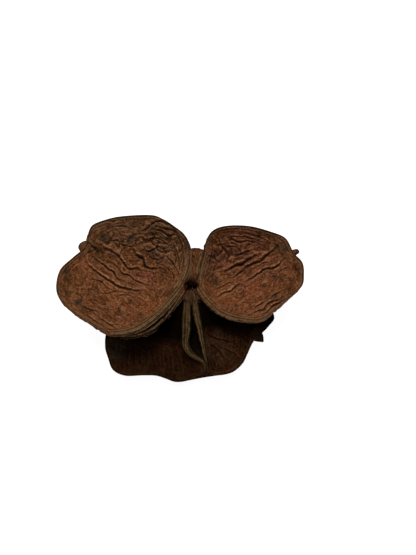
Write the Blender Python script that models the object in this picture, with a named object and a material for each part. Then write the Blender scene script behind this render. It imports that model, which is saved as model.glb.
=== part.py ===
"""Dried three-part seed pod, split open and lying on its back.

Three leathery carpels have grown together at one base. Each has two dished and wrinkled faces,
a bulging back between their rims, a slit with fibrous lips where the two faces meet near the
middle of the pod, and a small point on its back. The pod is one piece, so it is one solid.
Lengths are in millimetres until a mesh is made, +Z is up, and the slits turn towards -Y.
"""

import math

import bmesh
import bpy
import numpy as np

MILLIMETRE = 0.001

# Middle of the whole pod's footprint in the lengths below, which goes to the origin
BOX_MIDDLE = (0.31, -1.45, 0.0)

# Across a slit, from one face to the other: place from -1 to 1, height as a share of the lips,
# and depth as a share of the pocket between them
LIP_PROFILE = (
    (-1.00, 0.00, 0.0),
    (-0.94, 0.75, 0.0),
    (-0.76, 1.00, 0.0),
    (-0.56, 0.90, 0.0),
    (-0.40, 0.20, 0.0),
    (-0.26, 0.00, 0.5),
    (0.00, 0.00, 1.0),
    (0.26, 0.00, 0.5),
    (0.40, 0.20, 0.0),
    (0.56, 0.90, 0.0),
    (0.76, 1.00, 0.0),
    (0.94, 0.75, 0.0),
    (1.00, 0.00, 0.0),
)
LIP_INNER_EDGE = 0.5

# Where the slit is closed, its two lips meet this near the middle and stand this high, as shares
CLOSED_PLACE = 0.3
CLOSED_HEIGHT = 0.6

# Powers that shape how lips and opening grow along a slit, how the back bulges, and how the rings
# of a face spread out
LIP_GROWTH = 0.35
OPENING_GROWTH = 0.6
BULGE_GROWTH = 0.8
RING_SPREAD = 0.85

# Each carpel's slit runs from the base outward, and its rims run on round from the slit's far end
# back to the base. Face a is the one that shows most. A pocket's depth is a share of the way to
# the middle of the faces. Folds fan out over face a from a point (x, y) towards a direction in
# degrees: spread in degrees, how many, from and to which distance, and height. Steps are points
# along the slit and along the rim, and rows are rings on face a and on face b.
LEFT = {
    "slit_a": (
        (0.6, 1.9, 22), (-4.3, -3.9, 22.7), (-7.4, -7.6, 23.2), (-10.9, -11.4, 23.8),
        (-14.6, -14.7, 24.5), (-18.9, -17.0, 25.2), (-22.5, -17.9, 25.7), (-25.7, -18.3, 26),
    ),
    "slit_b": (
        (1.1, 0.9, 20.4), (-1.5, -3.3, 19.9), (-4.7, -7.8, 19.6), (-7.7, -11.7, 19.7),
        (-11.8, -15.4, 20.3), (-16.8, -17.4, 21.2), (-21.1, -17.8, 22), (-26.2, -17.8, 23),
    ),
    "rim_a": (
        (-28.8, -17, 27), (-37.9, -12.3, 29), (-43.9, -6.8, 30), (-45.8, -2, 31), (-45.5, 5, 31),
        (-41.8, 10, 31), (-38.4, 13.5, 31.3), (-36.9, 15.9, 31.7), (-36.4, 18.9, 33),
        (-35.0, 22.3, 34.5), (-31, 24, 35.5), (-23.8, 25, 37), (-12.1, 25, 38), (-7.2, 23.8, 37),
        (-3, 21.6, 35.5), (1.0, 19.2, 33), (3.3, 16.4, 27), (3.4, 11.9, 24.5), (2.7, 7.8, 23),
        (1.6, 4.6, 22.3),
    ),
    "rim_b": (
        (-33, -8, 17), (-38, -1, 10), (-40, 8, 4), (-36, 16, -0.8), (-28, 21, -0.5), (-18, 22, 5),
        (-5, 19, 8), (1, 9, 14),
    ),
    "dish_a": 7.0,
    "dish_b": 2.5,
    "bulge": 0.13,
    "bulge_way": None,
    "lip": 1.1,
    "pocket": 0.28,
    "open_until": 1.0,
    "folds": ((-46, 22), -29, 30, 6, 12, 44, 1.0),
    "steps": (19, 45),
    "rows": (15, 5),
}

RIGHT = {
    "slit_a": (
        (6.7, 2.3, 22), (8.6, -2.0, 21.7), (11.2, -5.2, 21.4), (14.1, -7.8, 21.1), (17.6, -9.7, 21),
        (22.1, -11.1, 21.2), (28.4, -12.0, 21.9), (31.9, -10.9, 22.5), (34.5, -8.9, 23),
    ),
    "slit_b": (
        (6.1, 1.2, 20.3), (7.7, -2.5, 19.9), (10.2, -5.7, 19.5), (13.3, -8.1, 19.2), (17.3, -9.9, 19.1),
        (22.2, -11.2, 19.5), (28.2, -11.8, 20.4), (32.0, -10.9, 21.2), (34.5, -9.2, 21.8),
    ),
    "rim_a": (
        (36, -8.1, 23.5), (41, -3.9, 25), (45.6, 0.2, 27), (46.6, 4.4, 28), (46.3, 9.3, 29),
        (43.0, 13.2, 30), (40.2, 18.2, 32), (34.6, 19.9, 34), (25.7, 21.3, 36), (16.5, 21.3, 36),
        (11.2, 19.9, 34), (9.3, 17.2, 29.5), (8.8, 13.8, 26), (7.9, 10.4, 24), (7.2, 6.6, 22.8),
    ),
    "rim_b": (
        (37.5, 1, 13), (41, 7, 6), (38, 14, -0.6), (30, 18.5, -0.6), (20, 19.5, 4), (13, 17, 8),
        (8.5, 9, 14),
    ),
    "dish_a": 6.5,
    "dish_b": 2.5,
    "bulge": 0.12,
    "bulge_way": None,
    "lip": 0.8,
    "pocket": 0.26,
    "open_until": 1.0,
    "folds": ((48, 22), 211, 30, 5, 10, 38, 0.9),
    "steps": (17, 43),
    "rows": (14, 5),
}

FRONT = {
    "slit_a": (
        (0.6, -3.2, 19.8), (0.0, -9.4, 18.3), (-0.1, -15.5, 16), (0.1, -19.3, 14.3), (1.5, -21.7, 13.2),
        (3.9, -23.2, 12.5), (6.9, -24.5, 11.8), (8.2, -26.5, 11), (8.7, -28.4, 10),
    ),
    "slit_b": (
        (5.5, -3.0, 20), (6.1, -8.0, 18), (7.8, -14.6, 15.8), (8.7, -19.5, 13.5), (9.5, -23.2, 12.2),
        (10.2, -28.2, 10),
    ),
    "rim_a": (
        (8.2, -29.0, 9), (5.6, -29.4, 8), (2.2, -30.8, 6.5), (-0.5, -31.3, 6), (-3.3, -31.2, 6),
        (-6.9, -29.9, 6), (-10.5, -29.0, 6.6), (-15.8, -29, 7), (-22.4, -29.1, 7), (-27.1, -27.1, 8),
        (-29.2, -22.7, 9.5), (-30.5, -18.3, 11), (-30, -12, 12), (-25, -3, 11.5), (-15, 5, 12),
        (-5, 8, 14),
    ),
    "rim_b": (
        (11.5, -29.1, 8.5), (14.3, -29.2, 8), (18.2, -28.4, 7.5), (21.0, -27.0, 7.5), (23.8, -24.3, 8),
        (25.6, -21.0, 9), (27.1, -17.9, 9.5), (28.5, -15.8, 10), (31.2, -13.2, 11), (33.6, -10.8, 12),
        (35.4, -8.0, 13), (33, -1, 12), (26, 5, 12), (13, 8, 14),
    ),
    "dish_a": 3.5,
    "dish_b": 3.0,
    "bulge": 0.21,
    "bulge_way": (0.0, 0.3, -1.0),
    "lip": 1.5,
    "pocket": 0.4,
    "open_until": 0.84,
    "folds": ((-8, 22), 262, 70, 9, 30, 56, 0.45),
    "steps": (17, 33),
    "rows": (10, 7),
}

# Soft unevenness of the leathery wall: size of its waves and height
WAVE_SIZE = 8.0
WAVE_HEIGHT = 0.7
WAVE_SEED = 11
WAVE_TABLE = 256
WAVE_GAIN = 1.6

# A face's waves and folds fade out over this share of the way in from its rim
RIM_FADE = 0.25

# Folds wander by this share of one fold, in waves of this size, and fade out near both ends
FOLD_WANDER = 0.35
FOLD_WANDER_SIZE = 12.0
FOLD_FADE_NEAR = 6.0
FOLD_FADE_FAR = 8.0

# Steps from one control point of a curve to the next
CURVE_STEPS = 24

# Points on the carpels' backs: foot, tip, radius at the foot, and how sharp the point is
POINTS = {
    "left_point": ((-34.5, 15.2, 27.8), (-40.9, 17.4, 29.2), 2.5, 0.5),
    "right_point": ((39.5, 13.0, 26), (46.2, 15.0, 27.8), 1.9, 0.7),
    "front_point": ((28.2, -11.4, 8.4), (32.2, -16.2, 9.3), 3.0, 0.9),
}
POINT_PLACES = (0.0, 0.35, 0.65, 0.85, 0.96, 1.0)
POINT_SIDES = 7

# The grown base that joins the carpels, the web between the two upper dishes, and the knot of
# fibres at the head of the front slit: middle, and half sizes
LUMPS = {
    "base": ((4.5, 12, 12), (9.5, 10, 9.5)),
    "web": ((5.4, 12.8, 17.6), (7.5, 9.0, 6.2)),
    "knot": ((3.6, -0.8, 18.2), (3.8, 3.0, 2.6)),
}
LUMP_SIDES = 14
LUMP_RINGS = 8
LUMP_UNEVEN = 0.12
LUMP_WAVE_SIZE = 0.6

# The scar of the stalk, on the back of the base
STALK_FOOT = (4.5, 17, 10)
STALK_END = (4.5, 23.8, 8)
STALK_PROFILE = ((0, 0), (0, 3.6), (0.8, 3.3), (1, 3.6), (1, 0))
STALK_SIDES = 12


def unit(v):
    return v / np.maximum(np.linalg.norm(v, axis=-1, keepdims=True), 1e-9)


def smooth_curve(points, count):
    """count points, evenly spaced along a Catmull-Rom curve through the given ones."""
    p = np.asarray(points, float)
    p = np.vstack([2 * p[0] - p[1], p, 2 * p[-1] - p[-2]])
    steps = np.linspace(0, 1, CURVE_STEPS, endpoint=False)[:, None]
    fine = []
    for i in range(1, len(p) - 2):
        a, b, c, d = p[i - 1 : i + 3]
        squared = (2 * a - 5 * b + 4 * c - d) * steps**2
        cubed = (3 * b - a - 3 * c + d) * steps**3
        fine.append(0.5 * (2 * b + (c - a) * steps + squared + cubed))
    fine = np.vstack([*fine, p[-2]])
    along = np.concatenate([[0], np.cumsum(np.linalg.norm(np.diff(fine, axis=0), axis=1))])
    wanted = np.linspace(0, along[-1], count)
    return np.stack([np.interp(wanted, along, fine[:, k]) for k in range(3)], axis=1)


def waves(points, size, seed):
    """Smooth seeded noise from about -1 to 1 at each point, with waves of the given size."""
    rng = np.random.default_rng(seed)
    slopes = unit(rng.normal(size=(WAVE_TABLE, 3)))
    order = np.concatenate([rng.permutation(WAVE_TABLE)] * 2)
    place = points / size
    cell = np.floor(place).astype(int)
    inside = place - cell
    ease = inside * inside * (3 - 2 * inside)
    total = np.zeros(len(points))
    for corner in np.ndindex(2, 2, 2):
        at = (cell + corner) % WAVE_TABLE
        slope = slopes[order[order[order[at[:, 0]] + at[:, 1]] + at[:, 2]]]
        rise = (slope * (inside - corner)).sum(axis=1)
        share = np.where(corner, ease, 1 - ease).prod(axis=1)
        total += rise * share
    return WAVE_GAIN * total


def rings(carpel):
    """The two rims as closed rings whose points match, slit first, with two shares for each point:
    how far it belongs to the slit, and how far the slit is open there."""
    slit_steps, rim_steps = carpel["steps"]
    slit_a = smooth_curve(carpel["slit_a"], slit_steps)
    slit_b = smooth_curve(carpel["slit_b"], slit_steps)
    rim_a = smooth_curve((slit_a[-1], *carpel["rim_a"], slit_a[0]), rim_steps + 2)[1:-1]
    rim_b = smooth_curve((slit_b[-1], *carpel["rim_b"], slit_b[0]), rim_steps + 2)[1:-1]
    share = np.linspace(0, 1, slit_steps)
    on_slit = np.sin(np.pi * share) ** LIP_GROWTH
    is_open = np.sin(np.pi * np.clip(share / carpel["open_until"], 0, 1)) ** OPENING_GROWTH
    rest = np.zeros(rim_steps)
    return (
        np.vstack([slit_a, rim_a]),
        np.vstack([slit_b, rim_b]),
        np.concatenate([on_slit, rest]),
        np.concatenate([is_open, rest]),
    )


class Face:
    """A dished face: the smoothest sheet that its rim can hold, sunk in the middle. Each harmonic
    of the rim fades inward by its own power."""

    def __init__(self, ring, depth, inward):
        self.count = len(ring)
        self.harmonics = np.fft.fft(ring, axis=0) / self.count
        self.order = np.fft.fftfreq(self.count, 1 / self.count)
        self.phase = np.exp(2j * np.pi * np.outer(np.arange(self.count), self.order) / self.count)
        following = np.roll(ring, -1, axis=0)
        centre = ring.mean(axis=0)
        normal = unit(np.cross(ring - centre, following - centre).sum(axis=0))
        self.inward = normal * np.sign(np.dot(normal, inward))
        self.depth = depth

    def row(self, share):
        """A ring of points at this share of the way from the middle to the rim, one or one each."""
        share = np.broadcast_to(share, self.count)
        fade = share[:, None] ** np.abs(self.order)
        flat = ((self.phase * fade) @ self.harmonics).real
        return flat + self.inward * (self.depth * (1 - share**2))[:, None]


def fold_height(points, folds):
    """Height of a fan of folds at each point, seen from above."""
    start, towards, spread, count, near, far, height = folds
    away = points[:, :2] - np.array(start)
    distance = np.linalg.norm(away, axis=1)
    angle = np.degrees(np.arctan2(away[:, 1], away[:, 0])) - towards
    angle = (angle + 180) % 360 - 180
    bend = FOLD_WANDER * waves(points, FOLD_WANDER_SIZE, WAVE_SEED)
    wave = np.cos(2 * np.pi * (count * angle / (2 * spread) + bend))
    across = np.clip(1 - (angle / spread) ** 2, 0, 1)
    along = np.clip(np.minimum((distance - near) / FOLD_FADE_NEAR, (far - distance) / FOLD_FADE_FAR), 0, 1)
    return height * wave * across * along


def wrinkled(rows, shares, out, folds):
    """The rows of a face with its waves and folds, which fade out at the rim."""
    found = []
    for row, share in zip(rows, shares):
        rise = WAVE_HEIGHT * waves(row, WAVE_SIZE, WAVE_SEED)
        if folds:
            rise = rise + fold_height(row, folds)
        fade = min(1.0, (1 - share) / RIM_FADE)
        found.append(row + out * (rise * fade)[:, None])
    return found


def strip_between(carpel, face_a, face_b, on_slit, is_open):
    """Rings of points across the back, which turn into lips and a pocket along the slit."""
    ring_a = face_a.row(1.0)
    ring_b = face_b.row(1.0)
    middle = (ring_a + ring_b) / 2
    tangent = unit(np.roll(middle, -1, axis=0) - np.roll(middle, 1, axis=0))
    across = unit(ring_b - ring_a)
    out = middle - middle.mean(axis=0)
    out = out - tangent * (out * tangent).sum(axis=1, keepdims=True)
    out = unit(out - across * (out * across).sum(axis=1, keepdims=True))
    back_out = out
    if carpel["bulge_way"]:
        back_out = np.broadcast_to(unit(np.array(carpel["bulge_way"])), out.shape)
    gap = np.linalg.norm(ring_b - ring_a, axis=1)
    last = len(LIP_PROFILE) - 1
    found = []
    for i, (place, lip, pocket) in enumerate(LIP_PROFILE[1:-1], start=1):
        plain = i / last
        inner = abs(place) < LIP_INNER_EDGE
        place = place * (CLOSED_PLACE + (1 - CLOSED_PLACE) * is_open if inner else np.ones_like(is_open))
        lip = CLOSED_HEIGHT + (lip - CLOSED_HEIGHT) * is_open if inner else lip * np.ones_like(is_open)
        sunk = 1 - carpel["pocket"] * pocket * is_open
        at_a = face_a.row(sunk)
        at_b = face_b.row(sunk)
        width = (ring_b - ring_a) * (place / 2)[:, None]
        slit = (at_a + at_b) / 2 + width + out * (carpel["lip"] * lip)[:, None]
        chord = ring_a + (ring_b - ring_a) * plain
        bulge = carpel["bulge"] * gap * math.sin(math.pi * plain) ** BULGE_GROWTH
        bulge = bulge + WAVE_HEIGHT * waves(chord, WAVE_SIZE, WAVE_SEED) * math.sin(math.pi * plain)
        back = chord + back_out * bulge[:, None]
        found.append(back + (slit - back) * on_slit[:, None])
    return found


def carpel_rows(carpel):
    """All rings of points of one closed carpel, from the middle of face a to the middle of face b."""
    ring_a, ring_b, on_slit, is_open = rings(carpel)
    between = ring_b.mean(axis=0) - ring_a.mean(axis=0)
    face_a = Face(ring_a, carpel["dish_a"], between)
    face_b = Face(ring_b, carpel["dish_b"], -between)
    shares_a, shares_b = [np.linspace(0, 1, count + 1) ** RING_SPREAD for count in carpel["rows"]]
    rows = wrinkled([face_a.row(share) for share in shares_a], shares_a, -face_a.inward, carpel["folds"])
    rows += strip_between(carpel, face_a, face_b, on_slit, is_open)
    rows += wrinkled([face_b.row(share) for share in shares_b], shares_b, -face_b.inward, None)[::-1]
    for row in rows:
        row[:, 2] = np.maximum(row[:, 2], 0.0)
    return rows


def closed_object(name, rows):
    """A closed mesh through rings of points, whose first and last rings stand for single points."""
    mesh = bmesh.new()
    placed = [(row - np.array(BOX_MIDDLE)) * MILLIMETRE for row in rows]
    first = mesh.verts.new(placed[0][0])
    last = mesh.verts.new(placed[-1][0])
    loops = [[mesh.verts.new(p) for p in row] for row in placed[1:-1]]
    count = len(loops[0])
    for k in range(count):
        n = (k + 1) % count
        mesh.faces.new((first, loops[0][k], loops[0][n]))
        mesh.faces.new((last, loops[-1][n], loops[-1][k]))
        for near, far in zip(loops, loops[1:]):
            mesh.faces.new((near[k], far[k], far[n], near[n]))
    bmesh.ops.recalc_face_normals(mesh, faces=mesh.faces)
    bmesh.ops.triangulate(mesh, faces=mesh.faces)
    data = bpy.data.meshes.new(name)
    mesh.to_mesh(data)
    mesh.free()
    obj = bpy.data.objects.new(name, data)
    bpy.context.collection.objects.link(obj)
    return obj


def lump(name, middle, half_sizes):
    """An uneven rounded lump."""
    turn = 2 * math.pi * np.arange(LUMP_SIDES) / LUMP_SIDES
    rows = []
    for i in range(LUMP_RINGS + 1):
        polar = math.pi * i / LUMP_RINGS
        level = np.full(LUMP_SIDES, np.cos(polar))
        ring = np.stack([np.sin(polar) * np.cos(turn), np.sin(polar) * np.sin(turn), level], axis=1)
        swell = 1 + LUMP_UNEVEN * waves(ring, LUMP_WAVE_SIZE, WAVE_SEED)[:, None]
        rows.append(np.array(middle) + ring * swell * np.array(half_sizes))
    return closed_object(name, rows)


def taper(name, foot, tip, profile, sides):
    """A round bar from foot to tip. The profile is a list of places along it and radii."""
    foot = np.array(foot, float)
    axis = np.array(tip, float) - foot
    side = unit(np.cross(axis, (0.0, 0.0, 1.0)))
    up = unit(np.cross(side, axis))
    turn = 2 * math.pi * np.arange(sides) / sides
    circle = np.cos(turn)[:, None] * side + np.sin(turn)[:, None] * up
    rows = [foot + axis * place + circle * radius for place, radius in profile]
    return closed_object(name, rows)


def clear_scene():
    for obj in list(bpy.data.objects):
        bpy.data.objects.remove(obj, do_unlink=True)


def husk_material():
    material = bpy.data.materials.new("husk")
    material.use_nodes = True
    shader = material.node_tree.nodes["Principled BSDF"]
    shader.inputs["Base Color"].default_value = (0.13, 0.045, 0.022, 1)
    shader.inputs["Roughness"].default_value = 0.85
    shader.inputs["Metallic"].default_value = 0.0
    return material


def grow_together(pod, others):
    """Joins every other piece to the pod with one Boolean union."""
    helpers = bpy.data.collections.new("grown_together")
    bpy.context.scene.collection.children.link(helpers)
    for obj in others:
        bpy.context.collection.objects.unlink(obj)
        helpers.objects.link(obj)
        obj.hide_render = True
        obj.display_type = "WIRE"
    join = pod.modifiers.new("grow_together", "BOOLEAN")
    join.operation = "UNION"
    join.operand_type = "COLLECTION"
    join.collection = helpers
    join.solver = "EXACT"


def main():
    clear_scene()
    pod = closed_object("pod_husk", carpel_rows(LEFT))
    others = [
        closed_object("right_carpel", carpel_rows(RIGHT)),
        closed_object("front_carpel", carpel_rows(FRONT)),
        taper("stalk_scar", STALK_FOOT, STALK_END, STALK_PROFILE, STALK_SIDES),
    ]
    others += [lump(name, middle, half_sizes) for name, (middle, half_sizes) in LUMPS.items()]
    for name, (foot, tip, radius, sharp) in POINTS.items():
        profile = [(0, 0)] + [(place, radius * (1 - place**2) ** sharp) for place in POINT_PLACES]
        others.append(taper(name, foot, tip, profile, POINT_SIDES))
    grow_together(pod, others)
    pod.data.materials.append(husk_material())
    pod.data.shade_smooth()


main()
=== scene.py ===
import math

import bmesh
import bpy
import numpy as np
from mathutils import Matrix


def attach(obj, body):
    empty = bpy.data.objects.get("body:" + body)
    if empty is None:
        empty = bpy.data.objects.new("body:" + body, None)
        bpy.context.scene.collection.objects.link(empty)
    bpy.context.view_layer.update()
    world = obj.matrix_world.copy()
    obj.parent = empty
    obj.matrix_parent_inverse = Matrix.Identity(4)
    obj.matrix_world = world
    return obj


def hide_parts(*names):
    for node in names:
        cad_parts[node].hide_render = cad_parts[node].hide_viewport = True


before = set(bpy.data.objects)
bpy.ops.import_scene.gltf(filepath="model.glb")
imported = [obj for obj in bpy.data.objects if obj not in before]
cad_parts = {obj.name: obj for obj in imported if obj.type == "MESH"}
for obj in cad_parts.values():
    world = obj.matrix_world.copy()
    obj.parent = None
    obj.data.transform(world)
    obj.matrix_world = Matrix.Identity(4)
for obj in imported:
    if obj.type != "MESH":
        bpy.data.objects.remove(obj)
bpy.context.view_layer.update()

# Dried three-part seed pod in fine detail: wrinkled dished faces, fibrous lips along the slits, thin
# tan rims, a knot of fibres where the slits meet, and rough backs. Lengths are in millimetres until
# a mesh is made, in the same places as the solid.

MILLIMETRE = 0.001
BOX_MIDDLE = (0.31, -1.45, 0.0)

# The camera: place, angle below level, and focal length for a picture of this many pixels
CAMERA_PLACE = (10.0, -65.0, 165.0)
CAMERA_DOWN = math.radians(63.5)
PICTURE = (416, 555)
FOCAL_PIXELS = 403.0
SENSOR = 36.0

# Across each slit: place from -1 to 1, height as a share of the lips, depth as a share of the
# pocket, and how tan the lip is there
LEFT_LIPS = (
    (-1, 0, 0, 0.1), (-0.965, 0.75, 0, 0.65), (-0.92, 0.9, 0, 0.45), (-0.875, 0.6, 0, 0.02),
    (-0.83, 0.6, 0, 0.02), (-0.76, 0.9, 0, 0.36), (-0.7, 0.85, 0, 0.24), (-0.645, 0.55, 0, 0),
    (-0.6, 0.8, 0, 0.35), (-0.555, 1.1, 0, 0.85), (-0.51, 0.9, 0, 0.15), (-0.42, 0.3, 0, 0),
    (-0.26, 0, 0.5, 0), (0, 0, 1, 0), (0.24, 0, 0.5, 0), (0.42, 0.25, 0, 0.05), (0.5, 0.85, 0, 0.42),
    (0.58, 1.05, 0, 0.5), (0.66, 0.8, 0, 0.05), (0.74, 0.8, 0, 0.05), (0.82, 0.9, 0, 0.28),
    (0.93, 0.6, 0, 0.04), (1, 0, 0, 0),
)
RIGHT_LIPS = (
    (-1, 0, 0, 0.1), (-0.96, 0.75, 0, 0.75), (-0.91, 0.85, 0, 0.35), (-0.86, 0.55, 0, 0),
    (-0.81, 0.5, 0, 0), (-0.74, 0.85, 0, 0.48), (-0.66, 1.05, 0, 0.6), (-0.58, 1, 0, 0.3),
    (-0.5, 0.6, 0, 0.03), (-0.42, 0.3, 0, 0), (-0.26, 0, 0.5, 0), (0, 0, 1, 0), (0.24, 0, 0.5, 0),
    (0.42, 0.3, 0, 0), (0.52, 0.75, 0, 0.05), (0.62, 0.6, 0, 0), (0.75, 0.6, 0, 0.02), (0.9, 0.4, 0, 0),
    (1, 0, 0, 0),
)
FRONT_LIPS = (
    (-1, 0, 0, 0.1), (-0.96, 0.6, 0, 0.3), (-0.9, 0.95, 0, 0.5), (-0.84, 0.8, 0, 0.22),
    (-0.78, 0.6, 0, 0.15), (-0.71, 0.95, 0, 0.7), (-0.65, 0.8, 0, 0.3), (-0.6, 0.85, 0, 0.3),
    (-0.54, 1, 0, 0.75), (-0.48, 0.6, 0, 0.2), (-0.42, 0.1, 0, 0), (-0.22, 0, 0.7, 0), (0, 0, 1, 0),
    (0.3, 0, 0.6, 0), (0.42, 0.1, 0, 0), (0.49, 0.6, 0, 0.45), (0.56, 1.05, 0, 0.9),
    (0.64, 0.9, 0, 0.45), (0.71, 0.7, 0, 0.18), (0.79, 0.9, 0, 0.55), (0.87, 0.75, 0, 0.3),
    (0.94, 0.45, 0, 0.1), (1, 0, 0, 0),
)
LIP_EDGE = 0.42
CLOSED_HEIGHT = 0.6
# Painted shade over the lips, most where they are least tan
LIP_SHADE = 0.6
STRIP_ROWS = 81

# The opening between the lips along each slit: share of the slit, and the opening's two edges as
# places from -1 to 1 across it
LEFT_GAP = (
    (0, 0, 0.06), (0.12, 0.02, 0.2), (0.25, -0.02, 0.34), (0.4, -0.1, 0.42), (0.55, -0.15, 0.4),
    (0.7, -0.1, 0.26), (0.85, 0, 0.16), (1, 0.05, 0.1),
)
RIGHT_GAP = (
    (0, -0.06, 0.04), (0.2, -0.12, 0.1), (0.45, -0.1, 0.14), (0.7, -0.06, 0.1), (1, -0.03, 0.03),
)
FRONT_GAP = (
    (0, 0, 0.06), (0.12, 0, 0.12), (0.25, -0.02, 0.26), (0.42, -0.2, 0.44), (0.5, -0.38, 0.5),
    (0.58, -0.52, 0.54), (0.68, -0.48, 0.54), (0.76, -0.22, 0.52), (0.82, 0.26, 0.42),
    (0.9, 0.32, 0.38), (1, 0.34, 0.37),
)

# Tan streaks on both margins of the notch, and the painted shade of the dark lines between them: half
# width in pixels, strength, and points in the picture. The painted shade in the hollows where the slits
# meet is given as patches.
NOTCH_STREAKS = (
    (0.85, 1, (208.8, 235), (206.5, 246.5), (205, 258), (202.7, 266), (200.4, 276), (198, 283)),
    (0.65, 0.8, (203.5, 249), (201, 257), (198, 266), (196.5, 277)),
    (0.75, 0.7, (182.7, 236.5), (187.3, 245), (186.5, 262), (184.2, 280)),
    (0.75, 0.8, (190.4, 248), (191, 263), (188, 281)),
)
NOTCH_SHADE_LINES = (
    (0.8, 0.8, (206.6, 238), (205, 248), (202.6, 260), (200.2, 269), (198.4, 280)),
    (0.8, 0.8, (185, 238), (189, 248), (188.8, 262), (186.3, 281)),
    (0.7, 0.5, (193.2, 252), (193.4, 264), (190.6, 279)),
)
HOLLOW_SHADE_PATCHES = ((192, 284.5, 5.2, 1.4), (186, 284.6, 3, 1), (197.6, 285.2, 2.4, 1))
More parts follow.
